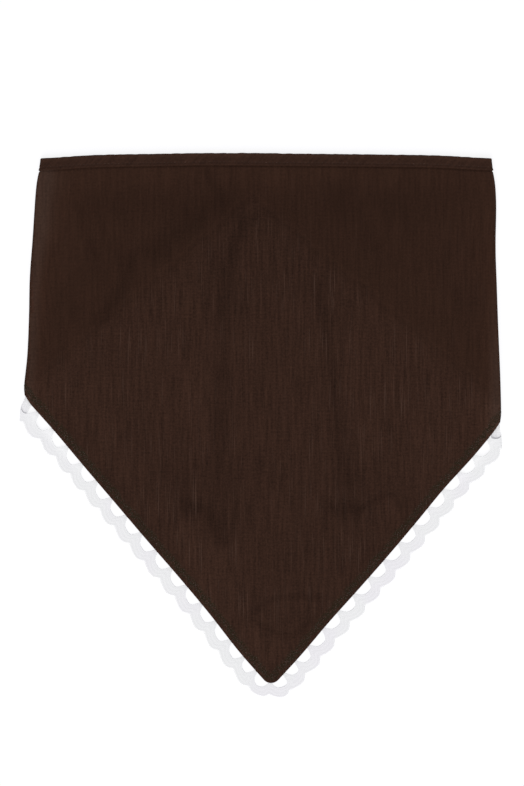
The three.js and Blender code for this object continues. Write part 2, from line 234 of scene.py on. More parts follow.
# One scallop of the lace: place along the pitch, and how far the eyelet and the outer edge reach,
# as shares of the eyelet's depth and of the bulge beyond the notch.
Scallop = namedtuple("Scallop", "along eyelet bulge")
scallop = (
    Scallop(0, 0, 0),
    Scallop(0.07, 0, 0.09),
    Scallop(0.26, 0.76, 0.51),
    Scallop(0.5, 1, 0.93),
    Scallop(0.75, 0.92, 0.9),
    Scallop(0.94, 0, 0.16),
)

# Mesh steps
cloth_step = 1.9 * mm
wing_step = 4 * mm
front_reach = 192 * mm
crease_steps = 6
fold_steps = 8
point_steps = 8
same_place = 0.00002 * mm
lace_steps = 4
lace_rows = 16

half_top = top_edge / 2
fold_outer = fold_radius + cloth_wall / 2
wing_height = hem_wall / 2 + thread_radius
fold_axis_height = wing_height + fold_radius
front_height = wing_height + 2 * fold_radius
lace_offset = -(hem_wall + lace_wall) / 2 - layer_gap
single_height = lace_wall + layer_gap + hem_wall / 2
tape_middle = cloth_wall / 2 + layer_gap + tape_wall / 2
tape_rise = tape_middle + tape_wall / 2 + thread_radius - wing_height

# The pattern's own origin, the middle of the top edge, in the frame
pattern_place = (10.655 * mm, 211.749 * mm, 0)


def unit(vector):
    return vector / np.linalg.norm(vector)


def smooth(value, low, high):
    share = np.clip((value - low) / (high - low), 0, 1)
    return share * share * (3 - 2 * share)


def flat_dot(points, vector):
    return points[:, 0] * vector[0] + points[:, 1] * vector[1]


def spline(rows, places):
    """A smooth curve through evenly spaced rows of numbers, read at places from 0 to the last row."""
    rows = np.asarray(rows, dtype=float)
    last = len(rows) - 1
    start = np.clip(np.floor(places).astype(int), 0, last - 1)
    t = (places - start).reshape((-1,) + (1,) * (rows.ndim - 1))
    before, here, there, beyond = (rows[np.clip(start + step, 0, last)] for step in (-1, 0, 1, 2))
    leave = (there - before) / 2
    arrive = (beyond - here) / 2
    cubic = (2 * here - 2 * there + leave + arrive) * t**3
    square = (-3 * here + 3 * there - 2 * leave - arrive) * t**2
    return cubic + square + leave * t + here


def ripple(places, length, phase):
    """A gentle uneven wave between -1 and 1 along places, about one crest in each length."""
    turn = 2 * math.pi * places / length
    wide = 0.5 * np.sin(turn + phase)
    near = 0.3 * np.sin(1.73 * turn + 2.1 * phase) + 0.2 * np.sin(2.9 * turn + phase)
    return wide + near


def wavy(places, wave):
    return wave.height * ripple(places, wave.length, wave.phase)


def bell(away, reach):
    return np.exp(-((away / reach) ** 2))


def rounded_rim(inside, reach, thinnest):
    """The share of its half wall that a sheet has near its rim, so that the rim is round."""
    near = np.clip(inside / reach, 0, 1)
    return np.sqrt(np.maximum(1 - (1 - near) ** 2, thinnest))


# The two lower edges, each running from its corner to the point
LowerEdge = namedtuple("LowerEdge", "side corner along out length")
sharp_point = np.array([point_shift, -depth])


def lower_edge(side):
    corner = np.array([side * half_top, 0.0])
    along = unit(sharp_point - corner)
    out = side * np.array([-along[1], along[0]])
    return LowerEdge(side, corner, along, out, np.linalg.norm(sharp_point - corner))


left_edge = lower_edge(-1)
right_edge = lower_edge(1)

# The rounding of the point
half_point_angle = math.acos(left_edge.along @ right_edge.along) / 2
point_setback = point_radius / math.tan(half_point_angle)
point_centre = sharp_point - point_setback * left_edge.along - point_radius * left_edge.out
point_turn = math.pi - 2 * half_point_angle
point_from = math.atan2(left_edge.out[0], -left_edge.out[1])

# A side fold: a straight line that leans outwards going down. Cloth past its start runs round an
# arc and comes back underneath.
SideFold = namedtuple("SideFold", "side top down out")


def side_fold(side, lean):
    reach = (half_top + side * corners_meet_at + corners_apart / 2) / 2
    down = np.array([side * math.sin(lean), -math.cos(lean)])
    out = np.array([side * math.cos(lean), math.sin(lean)])
    return SideFold(side, np.array([side * reach, 0.0]), down, out)


left_fold = side_fold(-1, left_lean)
right_fold = side_fold(1, right_lean)
folds = (left_fold, right_fold)


def past_fold(line, flat):
    """How far flat points lie past the start of a fold's arc."""
    return flat_dot(flat - line.top, line.out) + fold_outer


def folded(flat, offset):
    """Flat points folded over: where the camera sees them, their height, and their share of the
    front's own movements. The offset is measured from the middle of the cloth to its good side."""
    seen = flat.copy()
    height = front_height + offset
    front = np.ones(len(flat))
    for line in folds:
        past = past_fold(line, flat)
        over = (past > 0) & ((flat[:, 0] > corners_meet_at) == (line.side > 0))
        turn = np.clip(past / fold_radius, 0, math.pi)
        beyond = np.maximum(past - math.pi * fold_radius, 0)
        across = (fold_radius + offset) * np.sin(turn) - fold_outer - beyond
        along = flat_dot(flat - line.top, line.down)
        moved = line.top + along[:, None] * line.down + across[:, None] * line.out
        seen = np.where(over[:, None], moved, seen)
        height = np.where(over, fold_axis_height + (fold_radius + offset) * np.cos(turn), height)
        front = np.where(over, (1 + np.cos(turn)) / 2, front)
    return seen, height, front


def hem_distance(flat):
    """How far inside the finished lower edge flat points lie."""
    inside = np.minimum(*(-flat_dot(flat - edge.corner, edge.out) for edge in (left_edge, right_edge)))
    away = flat - point_centre
    in_turn = (flat_dot(away, left_edge.along) > 0) & (flat_dot(away, right_edge.along) > 0)
    return np.where(in_turn, point_radius - np.linalg.norm(away, axis=1), inside)


def one_folded(point, offset=0.0):
    return folded(np.array([point]), np.array([offset]))[0][0]


def wing_limit(edge, line):
    """The lower edge of a folded wing, with the lace beyond it, as the camera sees it."""
    out = edge.out - 2 * (edge.out @ line.out) * line.out
    return one_folded(edge.corner) + bulge_reach * out, out


wing_limits = [wing_limit(left_edge, left_fold), wing_limit(right_edge, right_fold)]


def settled(seen):
    """How far the front has settled onto the table, from 0 over the wings to 1 where it lies single."""
    beyond = np.minimum(*(flat_dot(seen - corner, out) for corner, out in wing_limits))
    return smooth(beyond, 0, settle_run)


def swell(seen):
    """How high the front stands off what it lies on: it swells away from its edges."""
    distances = [-seen[:, 1] - tape_height]
    distances += [-flat_dot(seen - edge.corner, edge.out) for edge in (left_edge, right_edge)]
    distances += [-past_fold(line, seen) for line in folds]
    height = np.full(len(seen), swell_height)
    for inside in distances:
        height *= smooth(inside, swell_start, swell_full)
    return height


def crease_path(crease):
    last = len(crease.points) - 1
    shares = spline(crease.points, np.linspace(0, last, last * crease_steps + 1))
    return shares * (half_top, -depth)


crease_paths = [(crease, crease_path(crease)) for crease in creases]


def nearest_on_path(points, path):
    """Distances from points to a path, and where along it the nearest place lies, from 0 to 1."""
    nearest = np.full(len(points), np.inf)
    place = np.zeros(len(points))
    for index, (start, end) in enumerate(zip(path, path[1:])):
        run = end - start
        share = np.clip(flat_dot(points - start, run) / (run @ run), 0, 1)
        distance = np.linalg.norm(points - start - share[:, None] * run, axis=1)
        place = np.where(distance < nearest, index + share, place)
        nearest = np.minimum(nearest, distance)
    return nearest, place / (len(path) - 1)


def creased(seen):
    """Each crease sinks along its line between two low shoulders, and fades out at both ends. Gives
    the height, and the painted shade of the creases: the share of light that they take away."""
    height = np.zeros(len(seen))
    shade = np.zeros(len(seen))
    for crease, path in crease_paths:
        distance, place = nearest_on_path(seen, path)
        ratio = (distance / crease.width) ** 2
        fade = smooth(np.minimum(place, 1 - place), 0, crease_fade)
        height += crease.depth * fade * (crease_shoulder * np.exp(-ratio / 6) - np.exp(-ratio))
        shade += crease.shade * fade * (0.75 * np.exp(-ratio) + 0.25 * np.exp(-ratio / 8))
    return height, shade


def shown_through(seen):
    """How far inside the edges of the hidden corners the front lies, as they show through it."""
    farthest = np.full(len(seen), -depth)
    for ends in show_through:
        low, high = (np.array([x * half_top, -y * depth]) for x, y in ends)
        along = unit(high - low)
        up = np.array([-along[1], along[0]]) * np.sign(along[0])
        farthest = np.maximum(farthest, flat_dot(seen - low, up))
    return farthest


def crumpled(seen):
    """Slight unevenness all over the front, never below its resting height."""
    x, y = seen[:, 0], seen[:, 1]
    wide = ripple(x + 0.35 * y, 61 * mm, 0.4) * ripple(y - 0.2 * x, 83 * mm, 1.9)
    near = ripple(x - 0.5 * y, 23 * mm, 2.7) * ripple(y + 0.3 * x, 37 * mm, 0.8)
    inside = smooth(hem_distance(seen), 2 * mm, 30 * mm)
    return crumple * inside * (1.4 + wide + 0.6 * near)


def raised(seen):
    """How far the front stands above its resting height, and never below it."""
    height = swell(seen) + crumpled(seen) + creased(seen)[0]
    return (height + np.sqrt(height**2 + rest_softness**2)) / 2


def fold_foot(line, edge):
    reach = ((edge.corner - line.top) @ edge.out) / (line.down @ edge.out)
    return line.top + reach * line.down


# The five sides as seen, each from its first end to its last
SeenSide = namedtuple("SeenSide", "start end out shares stray run")
left_foot = fold_foot(left_fold, left_edge)
right_foot = fold_foot(right_fold, right_edge)
seen_sides = (
    SeenSide(left_fold.top, right_fold.top, np.array([0, 1]), strays["top"], top_bow, top_bow_run),
    SeenSide(left_fold.top, left_foot, left_fold.out, strays["left fold"], side_stray, side_stray_run),
    SeenSide(right_fold.top, right_foot, right_fold.out, strays["right fold"], side_stray, side_stray_run),
    SeenSide(left_foot, sharp_point, left_edge.out, strays["left lower"], side_stray, side_stray_run),
    SeenSide(right_foot, sharp_point, right_edge.out, strays["right lower"], side_stray, side_stray_run),
)


def stray_at(seen):
    """How far the cloth has strayed from its straight outline."""
    moved = np.zeros_like(seen)
    for side in seen_sides:
        along = side.end - side.start
        away = seen - side.start
        share = np.clip(flat_dot(away, along) / (along @ along), 0, 1)
        stray = spline(side.shares, share * (len(side.shares) - 1)) * side.stray
        near = 1 - smooth(-flat_dot(away, side.out), 0, side.run)
        moved += (stray * near)[:, None] * side.out
    for foot, line, edge, rounding in (
        (left_foot, left_fold, left_edge, foot_rounding[0]),
        (right_foot, right_fold, right_edge, foot_rounding[1]),
    ):
        near = bell(np.linalg.norm(seen - foot, axis=1), foot_rounding_run)
        moved -= (rounding * near)[:, None] * unit(line.out + edge.out)
    return moved


def pinch_at(seen):
    """The tape pulls the cloth in where it turns over at the side folds."""
    middle = (left_fold.top[0] + right_fold.top[0]) / 2
    half_width = (right_fold.top[0] - left_fold.top[0]) / 2
    aside = seen[:, 0] - middle
    near_side = smooth(np.abs(aside), half_width - fold_pinch_reach, half_width)
    return fold_pinch * near_side * bell(seen[:, 1], fold_pinch_run) * np.sign(aside)


# The tape under the wings lifts everything above it, down to its lowest corner
tape_low = min(one_folded(edge.corner)[1] for edge in (left_edge, right_edge)) - tape_height


def dipped(flat, offset):
    """The cloth, and all behind it, dips beside the lower edge of the tape."""
    below = -flat[:, 1] - tape_height - tape_dip_below
    dip = tape_dip * bell(below, tape_dip_run)
    return offset - np.where(offset < (cloth_wall + layer_gap) / 2, dip, 0)


def lay(flat, offset, loose=0.0):
    """Where flat points come to lie, in the frame. What is loose hangs down to the table."""
    seen, height, front = folded(flat, dipped(flat, offset))
    fold_distances = [-past_fold(line, seen) for line in folds]
    inside_folds = np.minimum(*fold_distances)
    sunk = fold_sink * smooth(inside_folds, 0, fold_sink_run)
    down = settled(seen)
    drop = sunk * (1 - down) + (front_height - single_height) * down
    rise = tape_rise * (1 - smooth(tape_low - seen[:, 1], 0, tape_rise_run))
    height = height + rise + front * (raised(seen) - drop)
    pressed = loose * bell(inside_folds, lace_fold_run)
    height -= pressed * (lace_fold_droop + lace_fold_press * (height - fold_axis_height))
    limp = loose * front * smooth(inside_folds, *lace_held_beside_fold)
    moved = stray_at(seen)
    for line, inside, flare in zip(folds, fold_distances, lace_flares):
        moved += (flare * loose * bell(inside, lace_flare_run))[:, None] * line.out
    laid = np.empty((len(flat), 3))
    laid[:, 0] = seen[:, 0] + moved[:, 0] - pinch_at(seen)
    laid[:, 1] = seen[:, 1] + moved[:, 1]
    laid[:, 2] = height + limp * (single_height + offset - height)
    return laid + pattern_place


def even_steps(stops, steps):
    """Places from the first stop to the last, with about the given step between each two stops."""
    parts = [
        np.linspace(start, end, round((end - start) / step), endpoint=False)
        for start, end, step in zip(stops, stops[1:], steps)
    ]
    return np.concatenate(parts + [[stops[-1]]])


def drawn_grid(across, down):
    """A flat grid with its columns and rows at the given places."""
    bm = bmesh.new()
    columns, rows = len(across) - 1, len(down) - 1
    bmesh.ops.create_grid(bm, x_segments=columns, y_segments=rows, size=0.5)
    for vert in bm.verts:
        column = round((vert.co.x + 0.5) * columns)
        row = round((vert.co.y + 0.5) * rows)
        vert.co = (across[column], down[row], 0)
    return bm


def thicken(bm):
    """Gives a flat drawing an upper side at z = 1 and an under side at z = -1, closed all round."""
    bmesh.ops.solidify(bm, geom=bm.faces[:], thickness=2)
    bmesh.ops.translate(bm, vec=(0, 0, 1), verts=bm.verts[:])
    bmesh.ops.recalc_face_normals(bm, faces=bm.faces[:])


def read_points(mesh):
    points = np.empty(len(mesh.vertices) * 3)
    mesh.vertices.foreach_get("co", points)
    return points.reshape(-1, 3)


def finish_mesh(mesh, drawing, marks, material):
    """Puts a flat drawing on a mesh as its UV map, in metres, with its marks and its material."""
    corner_of = np.empty(len(mesh.loops), dtype=np.int32)
    mesh.loops.foreach_get("vertex_index", corner_of)
    mesh.uv_layers.new(name="drawing").data.foreach_set("uv", drawing[corner_of].ravel())
    for name, values in marks.items():
        mark = mesh.attributes.new(name, "FLOAT", "POINT")
        mark.data.foreach_set("value", np.asarray(values, dtype=np.float32))
    mesh.shade_smooth()
    mesh.materials.append(material)


def mesh_of(name, bm):
    mesh = bpy.data.meshes.new(name)
    bm.to_mesh(mesh)
    bm.free()
    return mesh


def add_object(name, data):
    made = bpy.data.objects.new(name, data)
    bpy.context.scene.collection.objects.link(made)
    return made


def laid_piece(name, bm, place, material):
    """Lays a drawing. place turns its drawn points and sides into flat points, offsets, how loose they
    are, and marks."""
    mesh = mesh_of(name, bm)
    drawn = read_points(mesh)
    flat, offset, loose, marks = place(drawn[:, :2], np.sign(drawn[:, 2]))
    mesh.vertices.foreach_set("co", lay(flat, offset, loose).ravel())
    mesh.update()
    finish_mesh(mesh, drawn[:, :2], marks, material)
    return add_object(name, mesh)


def cut_along(bm, point, out, clear=False):
    """Cuts a drawing along the line through point with out across it, and clears what lies beyond."""
    bmesh.ops.bisect_plane(
        bm,
        geom=bm.verts[:] + bm.edges[:] + bm.faces[:],
        dist=same_place,
        plane_co=(*point, 0),
        plane_no=(*out, 0),
        clear_outer=clear,
    )


def point_directions():
    for step in range(point_steps + 1):
        turn = point_from + point_turn * step / point_steps
        yield np.array([math.sin(turn), -math.cos(turn)])


def cut_beside_hem(bm, inset, clear=False):
    """Cuts along both lower edges and round the point, at an inset from the finished edge."""
    for edge in (left_edge, right_edge):
        cut_along(bm, edge.corner - inset * edge.out, edge.out, clear)
    if inset < point_radius:
        for direction in point_directions():
            cut_along(bm, point_centre + (point_radius - inset) * direction, direction, clear)


# Shader nodes

def feed(tree, socket, value):
    """Links a socket to another one, or sets its own value."""
    if isinstance(value, bpy.types.NodeSocket):
        tree.links.new(value, socket)
    else:
        socket.default_value = value


def node(tree, kind, inputs=(), **settings):
    """Adds a node. inputs are pairs of a socket's name or number and a value or a socket."""
    made = tree.nodes.new("ShaderNode" + kind)
    for name, value in settings.items():
        setattr(made, name, value)
    for name, value in inputs:
        feed(tree, made.inputs[name], value)
    return made


def maths(tree, operation, *values, clamp=False):
    made = node(tree, "Math", enumerate(values), operation=operation, use_clamp=clamp)
    return made.outputs[0]


def times(tree, first, second):
    return maths(tree, "MULTIPLY", first, second)


def less(tree, first, second):
    return maths(tree, "SUBTRACT", first, second)


def scaled(tree, value, factor, offset, clamp=False):
    return maths(tree, "MULTIPLY_ADD", value, factor, offset, clamp=clamp)


def between(tree, value, low, high):
    """From 0 at low to 1 at high, smoothly."""
    inputs = (("Value", value), ("From Min", low), ("From Max", high))
    return node(tree, "MapRange", inputs, interpolation_type="SMOOTHSTEP").outputs["Result"]


def within(tree, value, start, full, fading, end):
    """1 from full to fading, 0 before start and past end."""
    return less(tree, between(tree, value, start, full), between(tree, value, fading, end))


def noise(tree, place, scale, detail=2.0, roughness=0.5):
    inputs = (("Vector", place), ("Scale", scale), ("Detail", detail), ("Roughness", roughness))
    return node(tree, "TexNoise", inputs).outputs["Fac"]


def mapped(tree, place, turn, across=1, down=1):
    inputs = (("Vector", place), ("Scale", (across, down, 1)), ("Rotation", (0, 0, turn)))
    return node(tree, "Mapping", inputs).outputs["Vector"]


def streaks(tree, drawing, across, down, turn=0.0, detail=2.0, roughness=0.5):
    """Noise that is drawn out one way, with its repeats to the metre across and down."""
    return noise(tree, mapped(tree, drawing, turn, across, down), 1.0, detail, roughness)


def mixed(tree, share, first, second, blend="MIX"):
    made = node(tree, "Mix", (("Factor", share),), data_type="RGBA", blend_type=blend)
    feed(tree, made.inputs[6], first)
    feed(tree, made.inputs[7], second)
    return made.outputs[2]


def new_group(name, inputs, outputs):
    """A node group with named inputs (name, kind, value) and outputs (name, kind)."""
    tree = bpy.data.node_groups.new(name, "ShaderNodeTree")
    for label, kind, value in inputs:
        socket = tree.interface.new_socket(label, in_out="INPUT", socket_type="NodeSocket" + kind)
        if value is not None:
            socket.default_value = value
    for label, kind in outputs:
        tree.interface.new_socket(label, in_out="OUTPUT", socket_type="NodeSocket" + kind)
    return tree, tree.nodes.new("NodeGroupInput").outputs, tree.nodes.new("NodeGroupOutput").inputs


def plain_weave_group():
    """Plain weave: its height, the tone of its uneven yarns around 1, and its pale upright slubs."""
    tree, given, result = new_group(
        "plain weave",
        (
            ("Drawing", "Vector", None),
            ("Yarn Pitch", "Float", 0.4 * mm),
            ("Slub Width", "Float", 0.65 * mm),
        ),
        (("Height", "Float"), ("Tone", "Float"), ("Slubs", "Float")),
    )
    drawing = given["Drawing"]
    xyz = node(tree, "SeparateXYZ", (("Vector", drawing),)).outputs
    waves = []
    for axis in (0, 1):
        turn = maths(tree, "DIVIDE", times(tree, xyz[axis], math.pi), given["Yarn Pitch"])
        waves.append(maths(tree, "SINE", turn))
    over = maths(tree, "POWER", maths(tree, "ABSOLUTE", times(tree, *waves)), 0.6)
    warp = streaks(tree, drawing, 450, 30, detail=3.0, roughness=0.65)
    weft = streaks(tree, drawing, 60, 800, detail=1.0)
    grain = noise(tree, drawing, 600.0, detail=3.0, roughness=0.6)
    tone = scaled(tree, warp, 1.35, scaled(tree, weft, 0.35, -0.5))
    across = maths(tree, "DIVIDE", xyz[0], given["Slub Width"])
    place = node(tree, "CombineXYZ", ((0, across), (1, times(tree, xyz[1], 24.0)))).outputs[0]
    thick = between(tree, noise(tree, place, 1.0, detail=1.0), 0.6, 0.78)
    patches = between(tree, streaks(tree, drawing, 40, 9, detail=1.0), 0.35, 0.62)
    slubs = times(tree, thick, patches)
    tree.links.new(scaled(tree, slubs, 0.6, scaled(tree, over, 0.6, warp)), result["Height"])
    tree.links.new(scaled(tree, grain, 1.3, tone), result["Tone"])
    tree.links.new(slubs, result["Slubs"])
    return tree


plain_weave = plain_weave_group()


def new_material(name, roughness, specular, sheen, sheen_tint=(1, 1, 1, 1)):
    material = bpy.data.materials.new(name)
    material.use_nodes = True
    tree = material.node_tree
    shader = tree.nodes["Principled BSDF"]
    shader.inputs["Roughness"].default_value = roughness
    shader.inputs["Specular IOR Level"].default_value = specular
    shader.inputs["Sheen Weight"].default_value = sheen
    shader.inputs["Sheen Roughness"].default_value = 0.45
    shader.inputs["Sheen Tint"].default_value = sheen_tint
    return material, tree, shader


def placed_group(tree, group, inputs):
    made = tree.nodes.new("ShaderNodeGroup")
    made.node_tree = group
    for name, value in inputs:
        feed(tree, made.inputs[name], value)
    return made.outputs


def drawing_of(tree):
    return node(tree, "UVMap", uv_map="drawing").outputs["UV"]


def mark_of(tree, name):
    return node(tree, "Attribute", attribute_name=name).outputs["Fac"]


def bump(tree, shader, height, strength, distance):
    made = node(tree, "Bump", (("Height", height), ("Strength", strength), ("Distance", distance)))
    tree.links.new(made.outputs["Normal"], shader.inputs["Normal"])


def shaded(tree, colour, tone):
    """A colour made lighter or darker by a tone around 1."""
    grey = node(tree, "CombineColor", ((0, tone), (1, tone), (2, tone))).outputs[0]
    return mixed(tree, 1.0, colour, grey, "MULTIPLY")


def milder(tree, tone, share):
    """A tone brought nearer to 1."""
    return scaled(tree, less(tree, tone, 1.0), share, 1.0)


cotton_colour = (0.0259, 0.0119, 0.0075, 1)
# The cloth where it lies double, painted darker as less light shines through it
cotton_double = (0.0229, 0.0103, 0.0062, 1)
cotton_pale = (0.078, 0.045, 0.033, 1)
# Painted shade beside the hem seams
hem_colour = (0.0165, 0.0112, 0.0056, 1)
lint_colour = (0.3, 0.26, 0.23, 1)
# A pale painted sheen for the side folds
painted_sheen_colour = (0.11, 0.115, 0.105, 1)
speck_colour = (0.07, 0.055, 0.048, 1)
thread_dark = (0.022, 0.0105, 0.0065, 1)
# Painted glints on a few stitches
thread_glint = (0.075, 0.045, 0.034, 1)
lace_colour = (0.722, 0.728, 0.72, 1)
lace_shade = (0.645, 0.65, 0.645, 1)
lace_cool = (0.99, 0.975, 1, 1)
sheen_brown = (0.55, 0.4, 0.33, 1)
floor_colours = ((0.158, 0.157, 0.168, 1), (0.162, 0.161, 0.172, 1))


def lint_on(tree, drawing):
    """A few specks of pale lint, one here and there."""
    cells = node(tree, "TexVoronoi", (("Vector", drawing), ("Scale", 36.0)))
    chosen = node(tree, "SeparateColor", (("Color", cells.outputs["Color"]),)).outputs[0]
    near = less(tree, 1.0, between(tree, cells.outputs["Distance"], 0.008, 0.016))
    return times(tree, near, maths(tree, "GREATER_THAN", chosen, 0.97))


def brown_cotton():
    """Dark brown plain weave with pale slubs, painted darker where it lies double as less light shines
    through, and mottled with painted shade along its hems.
    """
    material, tree, shader = new_material("brown_cotton", 0.95, 0.05, 0.03, sheen_brown)
    drawing = drawing_of(tree)
    weave = placed_group(tree, plain_weave, (("Drawing", drawing),))
    slow = streaks(tree, drawing, 45, 12)
    wander = scaled(tree, slow, 12 * mm, -6 * mm)
    hidden = maths(tree, "ADD", mark_of(tree, "show_through"), wander)
    # Painted light shining through the single layer: where the hidden corners lie behind, the front is
    # painted darker and its yarns and slubs fainter, with a painted dark line along their edges and a
    # painted light line along their hems
    double = between(tree, hidden, -11 * mm, 8 * mm)
    beyond_hem = within(tree, hidden, -3 * mm, 0.0, 0.0, 3 * mm)
    on_hem = within(tree, hidden, 2 * mm, 4 * mm, 4 * mm, 6 * mm)
    # The tone mark carries painted light and shade: the creases, the light and dark areas and the side
    # folds
    light = mark_of(tree, "tone")
    tone = scaled(tree, on_hem, 0.06, scaled(tree, beyond_hem, -0.06, light))
    tone = times(tree, tone, scaled(tree, slow, 0.16, 0.92))
    colour = shaded(tree, mixed(tree, double, cotton_colour, cotton_double), tone)
    # A pale painted sheen where the painted light is strongest, along the side folds
    painted_sheen = times(tree, between(tree, light, 1.14, 1.42), 0.05)
    colour = mixed(tree, painted_sheen, colour, painted_sheen_colour)
    yarns = milder(tree, weave["Tone"], scaled(tree, double, -0.35, 1.0))
    colour = shaded(tree, colour, yarns)
    slubs = times(tree, weave["Slubs"], scaled(tree, double, -0.5, 0.6))
    colour = mixed(tree, slubs, colour, cotton_pale)
    # A mottle of painted shade beside the hem seams, where the hem's relief is shaded
    inside = less(tree, mark_of(tree, "hem_inside"), 2.5 * mm)
    inside = scaled(tree, noise(tree, drawing, 90.0), 5 * mm, inside)
    beside_seam = within(tree, inside, 1.3 * mm, 2.8 * mm, 6 * mm, 9 * mm)
    mottle = between(tree, noise(tree, drawing, 520.0, detail=3.0), 0.36, 0.6)
    colour = mixed(tree, times(tree, beside_seam, mottle), colour, hem_colour)
    specks = between(tree, noise(tree, drawing, 1200.0, detail=1.0), 0.56, 0.78)
    colour = mixed(tree, times(tree, beside_seam, specks), colour, speck_colour)
    colour = mixed(tree, lint_on(tree, drawing), colour, lint_colour)
    tree.links.new(colour, shader.inputs["Base Color"])
    bump(tree, shader, weave["Height"], 0.25, 0.12 * mm)
    return material


def brown_tape():
    """The same cotton cut on the bias, so its yarns run askew, a little lighter towards its folded edge.
    """
    material, tree, shader = new_material("brown_tape", 0.93, 0.06, 0.04, sheen_brown)
    drawing = drawing_of(tree)
    askew = mapped(tree, drawing, math.radians(45))
    weave = placed_group(tree, plain_weave, (("Drawing", askew), ("Yarn Pitch", 0.36 * mm)))
    up = node(tree, "SeparateXYZ", (("Vector", drawing),)).outputs[1]
    # Lighter towards the folded edge
    near_folded_edge = between(tree, up, 4.2 * mm, 9 * mm)
    slow = streaks(tree, drawing, 60, 200)
    tone = scaled(tree, near_folded_edge, 0.26, scaled(tree, slow, 0.22, 0.84))
    colour = shaded(tree, cotton_colour, tone)
    colour = shaded(tree, colour, milder(tree, weave["Tone"], 0.7))
    tree.links.new(colour, shader.inputs["Base Color"])
    bump(tree, shader, weave["Height"], 0.25, 0.12 * mm)
    return material


def white_lace():
    """White cotton lace of fine twisted threads, with painted shade in the hollows between its cords."""
    material, tree, shader = new_material("white_lace", 0.8, 0.2, 0.1)
    drawing = drawing_of(tree)
    relief = mark_of(tree, "relief")
    threads = streaks(tree, drawing, 1500, 500, math.radians(20))
    crossing = streaks(tree, drawing, 500, 1500, math.radians(20))
    net = times(tree, maths(tree, "ADD", threads, crossing), 0.5)
    # Painted shade: the lace is greyer where its relief is low, in the hollows between the cords
    share = scaled(tree, relief, 0.75, scaled(tree, net, 0.9, -0.3), clamp=True)
    colour = mixed(tree, share, lace_shade, lace_colour)
    cool = between(tree, noise(tree, drawing, 24.0, detail=1.0), 0.42, 0.66)
    colour = mixed(tree, 1.0, colour, mixed(tree, cool, (1, 1, 1, 1), lace_cool), "MULTIPLY")
    tree.links.new(colour, shader.inputs["Base Color"])
    bump(tree, shader, net, 0.8, 0.25 * mm)
    return material


def brown_thread():
    """Sewing thread of the cloth's own brown, with a painted glint on a stitch here and there."""
    material, tree, shader = new_material("brown_thread", 0.7, 0.2, 0.1, sheen_brown)
    twist = streaks(tree, drawing_of(tree), 600, 6000)
    # Painted glints, from the tone mark
    colour = mixed(tree, mark_of(tree, "tone"), thread_dark, thread_glint)
    tree.links.new(colour, shader.inputs["Base Color"])
    bump(tree, shader, twist, 0.4, 0.05 * mm)
    return material


# Pieces

def cloth_tone(drawn, in_front):
    """The cloth's painted light and shade, as a tone around 1: its areas of painted light and shade,
    painted light along the side folds and painted shade in the creases."""
    tone = 1 - creased(drawn)[1]
    for area in areas:
        away = (drawn / (half_top, -depth) - area.middle) / area.reach
        tone += area.gain * np.exp(-(away**2).sum(axis=1))
    # Painted light along the side folds, stronger on the left, and on the right stronger lower down
    down_right = smooth(-drawn[:, 1], 60 * mm, 190 * mm)
    left, right = (bell(inside, painted_fold_light_run) for inside in in_front)
    tone += 0.34 * left + (0.16 + 0.18 * down_right) * right
    return np.where(np.minimum(*in_front) > 0, tone, 1)


def cotton_cloth():
    across = even_steps(
        (-half_top, -front_reach, front_reach, half_top), (wing_step, cloth_step, wing_step)
    )
    tape_low_edge = -tape_height - tape_dip_below
    down = even_steps(
        (-depth, tape_low_edge - 3 * mm, tape_low_edge + 2 * mm, 0), (cloth_step, 0.5 * mm, cloth_step)
    )
    bm = drawn_grid(across, down)
    cut_beside_hem(bm, 0, clear=True)
    for side in (-1, 1):
        cut_along(bm, (side * (half_top - corner_cut), 0), (side, 0), clear=True)
    for inset in (hem_rounding * 0.3, hem_rounding, stitch_inset, hem_width, hem_width + hem_step_run):
        cut_beside_hem(bm, inset)
    for line in folds:
        for step in range(fold_steps + 1):
            past = math.pi * fold_radius * step / fold_steps
            cut_along(bm, line.top + (past - fold_outer) * line.out, line.out)
    bmesh.ops.remove_doubles(bm, verts=bm.verts[:], dist=0.02 * mm)
    thicken(bm)

    def place(drawn, side):
        inside = hem_distance(drawn)
        band = 1 - smooth(inside, hem_width, hem_width + hem_step_run)
        half = (cloth_wall + (hem_wall - cloth_wall) * band) / 2
        groove = bell(inside - stitch_inset, hem_groove_width)
        along = drawn[:, 0] * 0.8 + drawn[:, 1] * 0.6 * np.sign(drawn[:, 0] - point_shift)
        pucker = wavy(along, hem_pucker) * band * (1 - groove) * np.clip(inside / hem_rounding, 0, 1)
        rounding = rounded_rim(inside, hem_rounding, 0.02)
        offset = side * half * rounding * (1 - hem_groove_depth * groove) + pucker
        in_front = [-past_fold(line, drawn) for line in folds]
        hidden = np.where(np.minimum(*in_front) > 0, shown_through(drawn), -depth)
        marks = {"show_through": hidden, "hem_inside": inside, "tone": cloth_tone(drawn, in_front)}
        return drawn, offset, 0.0, marks

    return laid_piece("cotton_cloth", bm, place, brown_cotton())


